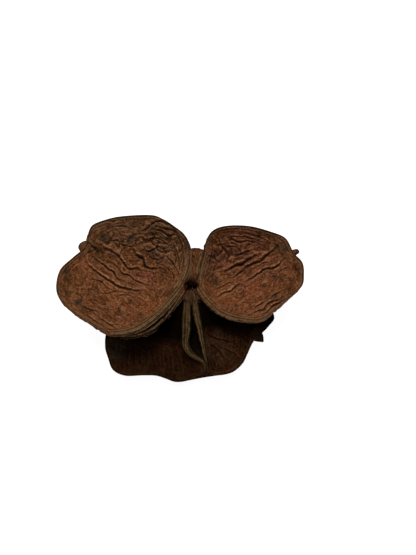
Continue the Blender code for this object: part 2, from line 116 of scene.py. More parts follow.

# Creases are (half width in pixels, depth in mm, points in the picture), with a fold along the upper
# side of each; they carry painted shade in the cut and a painted highlight on the fold. Crumples, hues
# and shades are (x, y, radius, strength), and specks (x, y, radius), all in pixels. Shades are patches
# of painted shade; the olive of positive hues near the far rims is partly a painted sheen. Slits and
# rims are in millimetres.
LEFT = dict(
    slit_a=(
        (-0.7, 1.6, 22), (-4.6, -3.9, 22.7), (-7.4, -7.6, 23.2), (-10.9, -11.4, 23.8),
        (-14.6, -14.7, 24.5), (-18.9, -17, 25.2), (-22.5, -17.9, 25.7), (-25.7, -18.3, 26),
    ),
    slit_b=(
        (1.1, 0.9, 20.4), (-1.5, -3.3, 19.9), (-4.7, -7.8, 19.6), (-7.7, -11.7, 19.7),
        (-11.8, -15.4, 20.3), (-16.8, -17.4, 21.2), (-21.1, -17.8, 22), (-26.2, -17.8, 23),
    ),
    rim_a=(
        (-28.8, -17, 27), (-37.9, -12.3, 29), (-43.9, -6.8, 30), (-45.8, -2, 31), (-45.5, 5, 31),
        (-41.8, 10, 31), (-38.4, 13.5, 31.3), (-36.9, 15.9, 31.7), (-36.4, 18.9, 33), (-35, 22.3, 34.5),
        (-31, 24, 35.5), (-23.8, 25, 37), (-12.1, 25, 38), (-7.2, 23.8, 37), (-3, 21.6, 35.5),
        (1, 19.2, 33), (3.3, 16.4, 27), (3.2, 11.9, 24.5), (2.2, 7.8, 23), (0.8, 4.6, 22.3),
    ),
    rim_b=(
        (-33, -8, 17), (-38, -1, 10), (-40, 8, 4), (-36, 16, -0.8), (-28, 21, -0.5), (-18, 22, 5),
        (-5, 19, 8), (1, 9, 14),
    ),
    dish_a=7.0,
    dish_b=2.5,
    bulge=0.13,
    lip=1.1,
    lips=LEFT_LIPS,
    lip_tan=0.64,
    gap=LEFT_GAP,
    pocket=0.28,
    steps=(105, 265),
    rows=(166, 20),
    grain=-32,
    creases=(
        (1.1, 0.75, (83, 256), (87, 264), (96, 272), (104, 277), (112, 282), (118, 287), (130, 290),
            (145, 291)),
        (1, 0.65, (93, 257), (102, 264), (108, 268), (114, 273), (118, 279), (125, 283)),
        (1, 0.7, (100, 245), (109, 250), (116, 254), (120, 258), (124, 263), (129, 269), (137, 268),
            (143, 273)),
        (0.9, 0.45, (107, 261), (114, 264), (120, 270), (123, 274), (130, 276), (136, 281), (144, 284),
            (153, 287)),
        (1.2, 0.95, (131, 247), (137, 255), (143, 259), (145, 266), (152, 269), (160, 268)),
        (1, 0.7, (138, 233), (144, 231), (149, 227), (155, 222), (161, 221), (167, 224), (173, 228),
            (179, 235), (184, 243)),
        (1.1, 0.8, (87, 240), (89, 244), (92, 246), (96, 249), (98, 254)),
        (0.9, 0.55, (150, 231), (156, 230), (162, 231), (168, 235), (176, 235), (181, 239)),
        (0.8, 0.45, (152, 226), (160, 227), (168, 229), (174, 231)),
        (0.8, 0.5, (109, 236), (113, 240), (118, 241), (122, 245), (127, 245), (131, 247)),
        (0.8, 0.45, (142, 250), (148, 252), (154, 250), (158, 247), (164, 249)),
        (0.8, 0.45, (150, 258), (158, 260), (164, 257)),
        (0.8, 0.5, (140, 238), (147, 240), (155, 238), (163, 241), (169, 246)),
        (0.8, 0.45, (160, 253), (167, 257), (172, 262), (177, 270), (180, 277)),
        (0.7, 0.35, (156, 263), (164, 266), (171, 272), (176, 279)),
        (0.7, 0.35, (118, 296), (127, 295), (133, 297)),
        (0.7, 0.35, (136, 297), (141, 299), (146, 302)),
        (0.9, 0.4, (78, 303), (84, 307), (91, 310), (97, 311), (100, 316)),
        (0.8, 0.35, (79, 310), (85, 314), (91, 318), (97, 322), (104, 326)),
        (0.8, 0.45, (98, 316), (104, 321), (112, 326), (118, 329)),
        (0.7, 0.3, (88, 273), (94, 279), (101, 282), (110, 290), (120, 293)),
        (0.7, 0.3, (92, 290), (100, 293), (110, 293), (120, 290)),
        (0.9, 0.45, (97, 224), (104, 221), (112, 221), (120, 220)),
        (0.7, 0.45, (166, 224), (174, 231), (180, 240), (183, 250), (184, 262), (182, 274)),
        (0.7, 0.45, (160, 228), (168, 235), (174, 244), (178, 255), (180, 268), (177, 279)),
        (0.7, 0.4, (170, 240), (175, 250), (176, 262), (174, 272)),
        (0.6, 0.35, (182, 246), (182, 258), (180, 270)),
        (0.6, 0.3, (165, 262), (170, 268), (174, 277), (173, 283)),
        (0.7, 0.35, (112, 228), (118, 226), (126, 227), (133, 231)),
    ),
    crumples=(
        (160, 243, 24, 1), (112, 240, 18, 0.7), (92, 250, 10, 0.6), (130, 262, 16, 0.4),
        (88, 310, 11, 0.6),
    ),
    specks=(
        (103, 237, 2.8), (132, 237, 2.3), (128, 240.5, 1.5), (101, 282, 1.3), (119, 311, 1.4),
        (140, 314.5, 1.5), (77.5, 303, 2.2), (81, 300, 1.3), (153, 251, 1.7), (150, 233, 1.6),
        (88, 245, 2), (112, 251, 1.4), (145, 266, 1.4), (66, 272, 1.8), (160, 238, 1.3),
    ),
    # Olive where positive and rosy where negative; the olive near the far rim is partly a painted sheen
    hues_and_sheen=(
        (118, 222, 26, 0.8), (165, 232, 20, 0.7), (178, 258, 14, 0.5), (182, 284, 8, 0.8),
        (158, 255, 13, 0.4), (147, 277, 10, -0.9), (128, 305, 24, -0.2), (70, 300, 12, 0.3),
        (84, 262, 9, -0.5),
    ),
    shades=(
        (66, 268, 8, 0.4), (64, 282, 6, 0.35), (92, 248, 6, 0.45), (100, 255, 8, 0.25),
        (164, 273, 7, 0.25), (88, 310, 7, 0.35), (82, 303, 4, 0.3), (170, 228, 10, 0.2),
        (150, 255, 10, 0.15),
    ),
)

RIGHT = dict(
    slit_a=(
        (5.6, 2, 22), (8.2, -2, 21.7), (11.2, -5.2, 21.4), (14.1, -7.8, 21.1), (17.6, -9.7, 21),
        (22.1, -11.1, 21.2), (28.4, -12, 21.9), (31.9, -10.9, 22.5), (34.5, -8.9, 23),
    ),
    slit_b=(
        (6.1, 1.2, 20.3), (7.7, -2.5, 19.9), (10.2, -5.7, 19.5), (13.3, -8.1, 19.2), (17.3, -9.9, 19.1),
        (22.2, -11.2, 19.5), (28.2, -11.8, 20.4), (32, -10.9, 21.2), (34.5, -9.2, 21.8),
    ),
    rim_a=(
        (36, -8.1, 23.5), (41, -3.9, 25), (45.6, 0.2, 27), (46.6, 4.4, 28), (46.3, 9.3, 29),
        (43, 13.2, 30), (40.2, 18.2, 32), (34.6, 19.9, 34), (25.7, 21.3, 36), (16.5, 21.3, 36),
        (11.2, 19.9, 34), (9.3, 17.2, 29.5), (8.7, 13.8, 26), (7.6, 10.4, 24), (6.5, 6.6, 22.8),
    ),
    rim_b=(
        (37.5, 1, 13), (41, 7, 6), (38, 14, -0.6), (30, 18.5, -0.6), (20, 19.5, 4), (13, 17, 8),
        (8.5, 9, 14),
    ),
    dish_a=6.5,
    dish_b=2.5,
    bulge=0.12,
    lip=0.8,
    lips=RIGHT_LIPS,
    lip_tan=0.5,
    gap=RIGHT_GAP,
    pocket=0.26,
    steps=(98, 252),
    rows=(172, 22),
    grain=28,
    creases=(
        (1.3, 0.9, (221, 272), (226, 271), (231, 268), (235, 266), (242, 264), (248, 260), (255, 257),
            (261, 254)),
        (1.2, 0.8, (240, 272), (248, 266), (254, 264), (260, 261), (266, 256), (273, 251), (279, 245)),
        (1, 0.65, (244, 282), (251, 279), (258, 274), (265, 270), (273, 268), (279, 265), (282, 261),
            (288, 255)),
        (1.1, 0.7, (217, 297), (225, 293), (231, 291), (235, 287), (241, 284)),
        (0.8, 0.5, (228, 236), (233, 240), (240, 242), (249, 241), (258, 243)),
        (0.8, 0.45, (222, 245), (229, 246), (235, 247), (240, 251)),
        (0.8, 0.45, (214, 235), (219, 240), (221, 246), (226, 250), (228, 257)),
        (0.8, 0.45, (208, 250), (213, 254), (216, 260), (222, 263)),
        (0.7, 0.4, (278, 273), (284, 269), (290, 267)),
        (0.9, 0.55, (248, 316), (255, 312), (263, 310), (268, 304), (277, 300), (285, 295)),
        (0.8, 0.45, (254, 308), (261, 304), (268, 301)),
        (0.9, 0.55, (262, 315), (268, 311), (273, 306), (281, 302), (289, 297)),
        (0.8, 0.5, (270, 299), (276, 294), (283, 291)),
        (0.7, 0.35, (232, 279), (239, 273), (245, 269)),
        (0.7, 0.35, (214, 289), (222, 287), (229, 283), (234, 283)),
        (0.7, 0.35, (255, 268), (263, 263), (272, 262)),
        (0.8, 0.45, (234, 257), (241, 254), (248, 251), (254, 250)),
        (0.7, 0.35, (240, 233), (250, 234), (262, 238), (270, 243)),
        (0.6, 0.4, (218, 232), (228, 229), (240, 229), (252, 231), (262, 234)),
        (0.6, 0.35, (222, 240), (232, 237), (245, 237), (256, 240), (266, 245)),
        (0.6, 0.35, (212, 240), (212, 250), (210, 262), (208, 272)),
        (0.6, 0.3, (217, 262), (214, 270), (212, 279)),
    ),
    crumples=((226, 252, 20, 0.9), (262, 250, 16, 0.5), (276, 305, 12, 0.7), (214, 278, 10, 0.5)),
    specks=(
        (274, 277, 1.5), (281, 279.5, 1.7), (264, 285.5, 1.8), (236, 305.5, 1.4), (275.5, 294.5, 1.2),
        (259.5, 236, 1.5), (277, 246, 2), (285.5, 250, 1.2), (246, 252, 1.6), (216, 282, 1.5),
        (297, 276, 1.2), (213, 257, 1.8),
    ),
    hues_and_sheen=(
        (240, 243, 22, -0.8), (222, 262, 13, -0.6), (262, 255, 14, -0.5), (284, 248, 7, 1.2),
        (250, 294, 24, -0.4), (214, 233, 6, 0.5), (274, 272, 12, -0.2),
    ),
    shades=(
        (216, 260, 9, 0.38), (210, 280, 8, 0.32), (242, 262, 10, 0.2), (283, 249, 7, 0.4),
        (276, 297, 6, 0.3), (293, 292, 7, 0.35), (214, 240, 8, 0.2), (226, 246, 8, 0.15),
    ),
)

FRONT = dict(
    slit_a=(
        (0.6, -3.2, 19.8), (0, -9.4, 18.3), (-0.1, -15.5, 16), (0.1, -19.3, 14.3), (1.5, -21.7, 13.2),
        (3.9, -23.2, 12.5), (6.9, -24.5, 11.8), (8.2, -26.5, 11), (8.7, -28.4, 10),
    ),
    slit_b=(
        (6, -3, 20), (7, -8, 18), (8.3, -14.6, 15.8), (9, -19.5, 13.5), (9.6, -23.2, 12.2),
        (10.2, -28.2, 10),
    ),
    rim_a=(
        (8.2, -29, 9), (5.6, -29.4, 8), (2.2, -30.8, 6.5), (-0.5, -31.3, 6), (-3.3, -31.2, 6),
        (-6.9, -29.9, 6), (-10.5, -29, 6.6), (-15.8, -29, 7), (-22.4, -29.1, 7), (-27.1, -27.1, 8),
        (-29.2, -22.7, 9.5), (-30.5, -18.3, 11), (-30, -12, 12), (-25, -3, 11.5), (-15, 5, 12),
        (-5, 8, 14),
    ),
    rim_b=(
        (11.5, -29.1, 8.5), (14.3, -29.2, 8), (18.2, -28.4, 7.5), (21, -27, 7.5), (23.8, -24.3, 8),
        (25.6, -21, 9), (27.1, -17.9, 9.5), (28.5, -15.8, 10), (31.4, -13.2, 11), (34.2, -10.6, 12),
        (36.6, -7, 13.2), (34, -1, 12), (26, 5, 12), (13, 8, 14),
    ),
    dish_a=3.5,
    dish_b=3.0,
    bulge=0.21,
    bulge_way=(0, 0.3, -1),
    lip=1.5,
    lips=FRONT_LIPS,
    lip_tan=0.86,
    gap=FRONT_GAP,
    pocket=0.4,
    open_until=0.84,
    steps=(110, 200),
    rows=(118, 104),
    grain=85,
    creases=(
        (0.9, 0.4, (127, 344), (128, 352), (127, 362), (129, 371)),
        (0.9, 0.4, (133, 343), (134, 355), (134, 366)),
        (0.9, 0.4, (139, 346), (140, 358), (139, 370)),
        (0.9, 0.4, (145, 344), (147, 357), (146, 368)),
        (0.9, 0.4, (152, 346), (153, 360), (154, 371)),
        (0.9, 0.4, (160, 348), (162, 362), (161, 374)),
        (0.9, 0.4, (168, 350), (171, 364), (170, 377)),
        (0.9, 0.4, (178, 356), (181, 368), (180, 379)),
        (1, 0.45, (110, 345), (115, 348), (121, 347)),
        (1, 0.45, (111, 353), (117, 356), (122, 353)),
        (0.9, 0.45, (206, 334), (214, 338), (224, 340), (236, 343)),
        (0.9, 0.45, (208, 342), (216, 348), (224, 357), (230, 364)),
        (0.9, 0.45, (215, 345), (226, 349), (236, 355), (241, 361)),
        (0.8, 0.35, (210, 352), (214, 360), (216, 370)),
        (0.8, 0.35, (226, 333), (236, 334), (246, 339), (250, 345)),
    ),
    crumples=((117, 350, 9, 0.8), (228, 352, 20, 0.5), (150, 360, 26, 0.3)),
    specks=((117, 353, 3), (114, 346, 2), (213, 356, 1.4), (122, 349, 1.6)),
    hues_and_sheen=((116, 350, 9, 1.3), (222, 350, 12, 0.3), (112, 340, 6, 0.8)),
    shades=((196, 366, 10, 0.2), (246, 338, 10, 0.2)),
)

WAVE_SIZE = 8.0
WAVE_HEIGHT = 0.7
WAVE_SEED = 11

# Painted shade under the overhanging upper carpels: the front carpel darkens upward in the picture:
# x, the y that it starts from, and how many pixels it takes
FRONT_SHADE = ((100, 140, 182, 205, 260), (354, 356, 354, 339, 337), (30, 22, 16, 14, 16))

# Painted shade: left of this x the front carpel is at least this dark
FRONT_LEFT_UNTIL = 206.0
FRONT_LEFT_SHADE = 0.52

# Wrinkles follow the rim this near to it
RIM_GRAIN = 8.0

# How wide the cut of a crease is, as a share of its half width, and how far in pixels beside its
# box a drawn line is looked for
CREASE_NARROW = 0.75
CREASE_REACH = 8
STREAK_REACH = 3

# Fine relief: size of the waves and height, and the height of the noise that counts as level
WRINKLE_SIZE = 1.8
WRINKLE_HEIGHT = 0.34
CRUMPLE_SIZE = 3.0
CRUMPLE_HEIGHT = 0.95
SKIN_SIZE = 0.85
SKIN_HEIGHT = 0.13
LEVEL = 0.6

SKIN_COLOURS = dict(
    dark=(0.029, 0.01, 0.0038),
    plain=(0.043, 0.0138, 0.0041),
    warm=(0.062, 0.019, 0.0048),
    # Olive: the skin's own tint, partly a painted sheen near the far rims
    olive=(0.042, 0.02, 0.0092),
    rosy=(0.07, 0.0205, 0.0108),
    # Painted highlight: the pale colour put on crests beside creases
    crest_highlight=(0.15, 0.066, 0.031),
    tan=(0.064, 0.044, 0.0225),
    # Painted shade: the near-black mixed in creases, hollows and slits
    painted_shade=(0.004, 0.0021, 0.0009),
)
# The front carpel's colours: a darker copy of the skin's, partly its own darker brown and partly
# painted shade, as it lies under the upper carpels. Its pale crest colour is a painted highlight and
# its last one painted shade.
FRONT_SHADED_COLOURS = dict(
    dark=(0.0062, 0.0017, 0.0005),
    plain=(0.01, 0.0031, 0.0011),
    warm=(0.0168, 0.0052, 0.0019),
    olive=(0.016, 0.0105, 0.0056),
    rosy=(0.0165, 0.004, 0.0013),
    crest_highlight=(0.032, 0.012, 0.0055),
    tan=(0.06, 0.036, 0.013),
    painted_shade=(0.0006, 0.0004, 0.0002),
)

# Fine wrinkles of the material, painted as thin lines of shade with a painted highlight beside each:
# waves in a metre, how far drawn out, and depth of the painted shade
FINE_WRINKLES = ((560, 3, 0.6), (1150, 2.2, 0.55))

SPECK_COLOUR = (0.0082, 0.008, 0.0048)

# The marks that each mesh carries for its material. The second is painted shade in creases, hollows,
# slits and under the upper carpels, the fourth a painted highlight beside creases, and the fifth an
# olive tint where positive and rosy where negative, the olive partly a painted sheen near the far rims.
MARKS = ("tan", "painted_shade", "speck", "crest_highlight", "hue_and_sheen")
FIBRE_MARKS = (0.4, 0.35, 0, 0, 0.8)
KNOT_MARKS = (0.45, 0.5, 0, 0, 1)

# Points on the carpels' backs: foot, tip, radius at the foot, how sharp the point is, and how tan
POINTS = {
    "left_point": ((-36.2, 15.7, 27.6), (-40.8, 17.2, 28.9), 3.4, 0.55, 0.45),
    "right_point": ((39.5, 13.2, 26), (45.9, 15.2, 27.8), 1.7, 0.35, 0.1),
    "front_point": ((28.2, -11.4, 8.4), (32.2, -16.2, 9.3), 3, 0.9, 0),
}

# Lumps of the grown base: middle, half sizes, how uneven, height of the streaks, least painted shade,
# and how olive
LUMPS = {
    "grown_base": ((4.5, 12, 12), (9.5, 10, 9.5), 0.12, 0.45, 0.3, 0.5),
    "grown_web": ((5.4, 12.8, 17.6), (7.5, 9, 6.2), 0.05, 0.22, 0.42, 0.1),
    "grown_knot": ((3.6, -0.8, 18.2), (3.8, 3, 2.6), 0.12, 0.45, 0.66, 1),
}
KNOT_MIDDLE = np.array((3.9, -0.8, 19.2))
FIBRE_SEED = 5

# The stalk scar: its ends, and places along it with a radius at each
STALK_FOOT = (4.5, 17, 10)
STALK_END = (4.5, 23.8, 8)
STALK_PROFILE = ((0, 0), (0, 3.6), (0.8, 3.3), (1, 3.5), (1, 2.7), (0.93, 1.9), (0.91, 0))

# The stage, in metres: a white floor, a big round light over the pod, and an even sky
FLOOR_SIZE = 6.0
WHITE = (1, 1, 1, 1)
FLOOR_LOOKS = (
    ("Base Color", (0.14, 0.14, 0.14, 1)), ("Emission Color", WHITE), ("Emission Strength", 0.92),
    ("Roughness", 0.9), ("Specular IOR Level", 0.1),
)
LIGHT_PLACE = (-0.02, 0.17, 0.7)
LIGHT_AIM = (0, 0, 0.02)
LIGHT_SIZE = 0.3
LIGHT_POWER = 12.0
SKY_STRENGTH = 0.75


def unit(v):
    return v / np.maximum(np.linalg.norm(v, axis=-1, keepdims=True), 1e-9)


def bell(x, width):
    return np.exp(-((x / width) ** 2))


def most(*values):
    return np.maximum.reduce(values)


def lengths_along(points):
    return np.concatenate([[0], np.cumsum(np.linalg.norm(np.diff(points, axis=0), axis=1))])


def smooth_curve(points, count):
    """count points, evenly spaced along a Catmull-Rom curve through the given ones."""
    p = np.asarray(points, float)
    p = np.vstack([2 * p[0] - p[1], p, 2 * p[-1] - p[-2]])
    steps = np.linspace(0, 1, 24, endpoint=False)[:, None]
    fine = []
    for i in range(1, len(p) - 2):
        a, b, c, d = p[i - 1 : i + 3]
        squared = (2 * a - 5 * b + 4 * c - d) * steps**2
        cubed = (3 * b - a - 3 * c + d) * steps**3
        fine.append(0.5 * (2 * b + (c - a) * steps + squared + cubed))
    fine = np.vstack([*fine, p[-2]])
    along = lengths_along(fine)
    wanted = np.linspace(0, along[-1], count)
    return np.stack([np.interp(wanted, along, fine[:, k]) for k in range(fine.shape[1])], axis=1)


def waves(points, size, seed):
    """Smooth seeded noise from about -1 to 1, with waves of the given size."""
    rng = np.random.default_rng(seed)
    slopes = unit(rng.normal(size=(256, 3)))
    order = np.concatenate([rng.permutation(256)] * 2)
    place = points / size
    cell = np.floor(place).astype(int)
    inside = place - cell
    ease = inside * inside * (3 - 2 * inside)
    total = np.zeros(len(points))
    for corner in np.ndindex(2, 2, 2):
        at = (cell + corner) & 255
        slope = slopes[order[order[order[at[:, 0]] + at[:, 1]] + at[:, 2]]]
        rise = (slope * (inside - corner)).sum(axis=1)
        share = np.where(corner, ease, 1 - ease).prod(axis=1)
        total += rise * share
    return 1.6 * total


def shifts(points, size, *seeds):
    """Noise to shift points by: one column for each seed."""
    return np.stack([waves(points, size, seed) for seed in seeds], axis=1)


def creased(points, size, seed):
    """Noise with narrow creases: height from 0 to about 1, how deep in a crease each point is, which is
    used for painted shade, and how near to the top of the fold beside one, used for a painted
    highlight."""
    bent = points + 0.5 * size * shifts(points, size * 1.7, seed + 1, seed + 2, seed + 3)
    level = waves(bent, size, seed)
    height = np.minimum(np.abs(level) * 1.8, 1.0)
    return np.stack([height, bell(level, 0.09), bell(level - 0.24, 0.1)])


def stretched(points, degrees, along):
    """The points turned about Z and squeezed along one way, so that noise read there is drawn out."""
    turn = math.radians(degrees)
    u = points[:, 0] * math.cos(turn) + points[:, 1] * math.sin(turn)
    v = points[:, 1] * math.cos(turn) - points[:, 0] * math.sin(turn)
    return np.stack([u / along, v, points[:, 2]], axis=1)


def in_picture(points):
    """Where each point stands in the photograph, in its pixels."""
    away = points - np.array(CAMERA_PLACE)
    depth = away[:, 1] * math.cos(CAMERA_DOWN) - away[:, 2] * math.sin(CAMERA_DOWN)
    up = away[:, 1] * math.sin(CAMERA_DOWN) + away[:, 2] * math.cos(CAMERA_DOWN)
    across = PICTURE[0] / 2 + FOCAL_PIXELS * away[:, 0] / depth
    down = PICTURE[1] / 2 - FOCAL_PIXELS * up / depth
    return np.stack([across, down], axis=1)


def side_and_share(at, line):
    """Signed distance of each point from a drawn line, positive above it, and how far along it is."""
    start, end = line[:-1], line[1:]
    way = end - start
    length = np.linalg.norm(way, axis=1)
    offset = at[:, None, :] - start[None]
    t = np.clip((offset * way).sum(axis=2) / length**2, 0, 1)
    gap = offset - t[:, :, None] * way
    distance = np.linalg.norm(gap, axis=2)
    near = distance.argmin(axis=1)
    rows = np.arange(len(at))
    cross = way[near, 0] * offset[rows, near, 1] - way[near, 1] * offset[rows, near, 0]
    share = (near + t[rows, near]) / len(start)
    return distance[rows, near] * np.where(cross < 0, 1, -1), share


def near_line(at, line, reach):
    """Which points lie within reach of the line's box, in pixels."""
    return np.all((at > line.min(axis=0) - reach) & (at < line.max(axis=0) + reach), axis=1)


def crease_relief(at, creases):
    """Height of the drawn creases with the fold beside each, how deep in one each point is, for painted
    shade, and how near to the top of its fold, for a painted highlight."""
    rise, painted_shade, crest_highlight = np.zeros((3, len(at)))
    for half, depth, *points in creases:
        line = smooth_curve(points, 26)
        close = near_line(at, line, CREASE_REACH)
        if not close.any():
            continue
        side, share = side_and_share(at[close], line)
        fade = np.sin(np.pi * np.clip(share, 0.02, 0.98)) ** 0.5
        cut = bell(side, CREASE_NARROW * half)
        above = bell(side - 1.9 * half, 1.1 * half)
        below = bell(side + 1.9 * half, 1.2 * half)
        rise[close] += depth * fade * (-cut + 0.75 * above + 0.3 * below)
        fold = most(above, 0.6 * below)
        # Painted shade in the cut of each crease
        painted_shade[close] = most(painted_shade[close], cut * fade * min(1.0, 0.45 + depth))
        crest_highlight[close] = most(crest_highlight[close], fold * fade * min(1.0, 0.3 + depth))
    return rise, painted_shade, crest_highlight


def patches(at, places):
    """Sum of soft round patches (x, y, radius, strength) of the picture at each point."""
    total = np.zeros(len(at))
    for x, y, radius, strength in places:
        total += strength * np.exp(-(((at - (x, y)) / radius) ** 2).sum(axis=1))
    return total


def streaks(at, lines):
    """How far each point lies on one of the drawn lines (half width, strength, points)."""
    total = np.zeros(len(at))
    for half, strength, *points in lines:
        line = smooth_curve(points, 20)
        close = near_line(at, line, STREAK_REACH)
        if close.any():
            side, share = side_and_share(at[close], line)
            fade = np.sin(np.pi * np.clip(share, 0.03, 0.97)) ** 0.3
            total[close] = most(total[close], strength * fade * bell(side, half))
    return total


def notch_marks(points):
    """Tan shares of the drawn margins of the notch at each point, and painted shade in the lines
    between them and in the hollows where the slits meet.
    """
    at = in_picture(points) + 0.35 * shifts(points, 1.4, 121, 122)
    hollow_shade = np.clip(patches(at, HOLLOW_SHADE_PATCHES), 0, 1)
    return streaks(at, NOTCH_STREAKS), streaks(at, NOTCH_SHADE_LINES), hollow_shade


def mark_columns(tan, painted_shade, speck, crest_highlight, hue_and_sheen):
    """The marks of a row of points as columns."""
    tan, painted_shade, crest_highlight = np.clip(tan, 0, 1), np.clip(painted_shade, 0, 1), np.clip(crest_highlight, 0, 1)
    return np.stack(np.broadcast_arrays(tan, painted_shade, speck, crest_highlight, hue_and_sheen), axis=1)


def rings(carpel):
    """The two rims as closed rings whose points match, slit first, with two shares for each point:
    how far it belongs to the slit, and how far the slit is open there."""
    slit_steps, rim_steps = carpel["steps"]
    closed = []
    for side in "ab":
        slit = smooth_curve(carpel["slit_" + side], slit_steps)
        rim = smooth_curve((slit[-1], *carpel["rim_" + side], slit[0]), rim_steps + 2)[1:-1]
        closed.append(np.vstack([slit, rim]))
    share = np.linspace(0, 1, slit_steps)
    on_slit = np.sin(np.pi * share) ** 0.35
    is_open = np.sin(np.pi * np.clip(share / carpel.get("open_until", 1.0), 0, 1)) ** 0.6
    rest = np.zeros(rim_steps)
    return *closed, np.concatenate([on_slit, rest]), np.concatenate([is_open, rest])


class Face:
    """A dished face: the smoothest sheet that its rim can hold, sunk in the middle. Each harmonic
    of the rim fades inward by its own power."""

    def __init__(self, ring, depth, inward):
        self.count = len(ring)
        self.harmonics = np.fft.fft(ring, axis=0) / self.count
        self.order = np.fft.fftfreq(self.count, 1 / self.count)
        self.phase = np.exp(2j * np.pi * np.outer(np.arange(self.count), self.order) / self.count)
        following = np.roll(ring, -1, axis=0)
        centre = ring.mean(axis=0)
        normal = unit(np.cross(ring - centre, following - centre).sum(axis=0))
        self.inward = normal * np.sign(np.dot(normal, inward))
        self.depth = depth

    def row(self, share):
        """A ring of points at this share of the way from the middle to the rim, one or one each."""
        share = np.broadcast_to(share, self.count)
        fade = share[:, None] ** np.abs(self.order)
        flat = ((self.phase * fade) @ self.harmonics).real
        return flat + self.inward * (self.depth * (1 - share**2))[:, None]


def face_rows(face, count, carpel, ring, margin, drawn):
    """Rows of one face from its middle to its rim, and the marks on them. margin says how far the
    rim is striped at each point, and drawn whether the creases of the picture are on this face."""
    shares = np.linspace(0, 1, count + 1) ** 0.85
    rows, marks = [], []
    out = -face.inward
    around = lengths_along(ring)
    for share in shares:
        flat = face.row(share)
        inside = np.linalg.norm(flat - ring, axis=1)
        ease = min(1.0, 4 * (1 - share))
        rise = WAVE_HEIGHT * waves(flat, WAVE_SIZE, WAVE_SEED) * ease
        at = in_picture(flat) + 0.9 * shifts(flat, 2.6, 31, 32) + 0.6 * shifts(flat, 1.0, 33, 34)
        fold = np.clip(inside / 2.2, 0, 1)
        painted_shade, crest_highlight, speck, hue_and_sheen, shade = np.zeros((5, len(flat)))
        crumple = np.full(len(flat), 0.12)
        if drawn:
            drawn_rise, painted_shade, crest_highlight = crease_relief(at, carpel["creases"])
            rise = rise + drawn_rise * fold
            crumple = np.minimum(crumple + patches(at, carpel["crumples"]), 1.2)
            speck = patches(at, [(x, y, 1.15 * radius, 1.0) for x, y, radius in carpel["specks"]])
            hue_and_sheen = patches(at, carpel["hues_and_sheen"])
            shade = np.clip(patches(at, carpel["shades"]), 0, 0.8)
        straight = stretched(flat, carpel["grain"], 2.6)
        rounded = np.stack([around / 3.2, inside * 1.1, np.full(len(flat), 7.0)], axis=1)
        by_rim = np.clip((RIM_GRAIN - inside) / 4, 0, 1)
        along_grain = creased(straight, WRINKLE_SIZE, 41)
        along_rim = creased(rounded, WRINKLE_SIZE, 45)
        wrinkle, wrinkle_cut, wrinkle_crest = along_grain + (along_rim - along_grain) * by_rim
        fine, fine_cut, fine_crest = creased(straight * (1.6, 1, 1), SKIN_SIZE, 51)
        bump, bump_cut, bump_crest = creased(flat, CRUMPLE_SIZE, 61)
        small, small_cut, small_crest = creased(flat, 0.5 * CRUMPLE_SIZE, 65)
        rise = rise + WRINKLE_HEIGHT * (wrinkle - LEVEL) * fold
        rise = rise + CRUMPLE_HEIGHT * crumple * (bump - LEVEL + 0.45 * (small - LEVEL)) * fold
        rise = rise + SKIN_HEIGHT * (fine - LEVEL) * np.clip(inside, 0.2, 1)
        rise = rise - 0.35 * np.minimum(speck, 1)
        # Painted shade in the cuts of the wrinkles and crumples
        cuts = most(0.52 * wrinkle_cut, 0.85 * crumple * bump_cut, 0.6 * crumple * small_cut)
        painted_shade = most(painted_shade, cuts * fold, 0.5 * fine_cut)
        # Painted highlight on the crests beside the wrinkles and crumples
        crests = most(0.42 * wrinkle_crest, crumple * bump_crest, 0.6 * crumple * small_crest)
        crest_highlight = most(crest_highlight, crests * fold, 0.38 * fine_crest) * (1 - painted_shade)
        # Painted shade: the dark patches of the picture
        painted_shade = painted_shade + shade * (1 - painted_shade)
        swing = 0.5 + 0.5 * np.cos(2 * np.pi * inside / (1.15 + 0.12 * waves(flat, 6.0, 36)))
        weight = bell(inside, 1.5 + 0.9 * margin) * (0.85 + 0.15 * margin)
        broken = np.clip(0.8 + 0.7 * waves(flat, 2.4, 35), 0.15, 1.2)
        rise = rise + 0.32 * (swing - 0.6) * weight
        # Painted shade in the troughs of the ridges along the rim
        painted_shade = most(painted_shade, 0.8 * (1 - swing) * weight)
        tan = 0.85 * swing * weight * broken
        if carpel is FRONT:
            tan = 0.35 * tan
            # Painted shade on the front carpel: upward under the upper carpels, and over its left part
            across, *levels = FRONT_SHADE
            start, depth = (np.interp(at[:, 0], across, level) for level in levels)
            upper = 0.97 * np.clip((start - at[:, 1]) / depth, 0, 1)
            left = FRONT_LEFT_SHADE * np.clip((FRONT_LEFT_UNTIL - at[:, 0]) / 8, 0, 1)
            painted_shade = most(painted_shade, upper, left) * (1 - 0.6 * np.clip(hue_and_sheen, 0, 1))
        elif drawn:
            # Tan streaks of the notch's margins, and painted shade in the lines between them and in the
            # hollows
            streak, cut, hollow_shade = notch_marks(flat)
            tan = most(tan, 0.8 * streak)
            painted_shade = most(painted_shade * (1 - 0.8 * streak), 0.8 * cut, hollow_shade)
            rise = rise + 0.25 * (streak - cut)
        rows.append(flat + out * rise[:, None])
        marks.append(mark_columns(tan, painted_shade, speck, crest_highlight, hue_and_sheen))
    return rows, marks


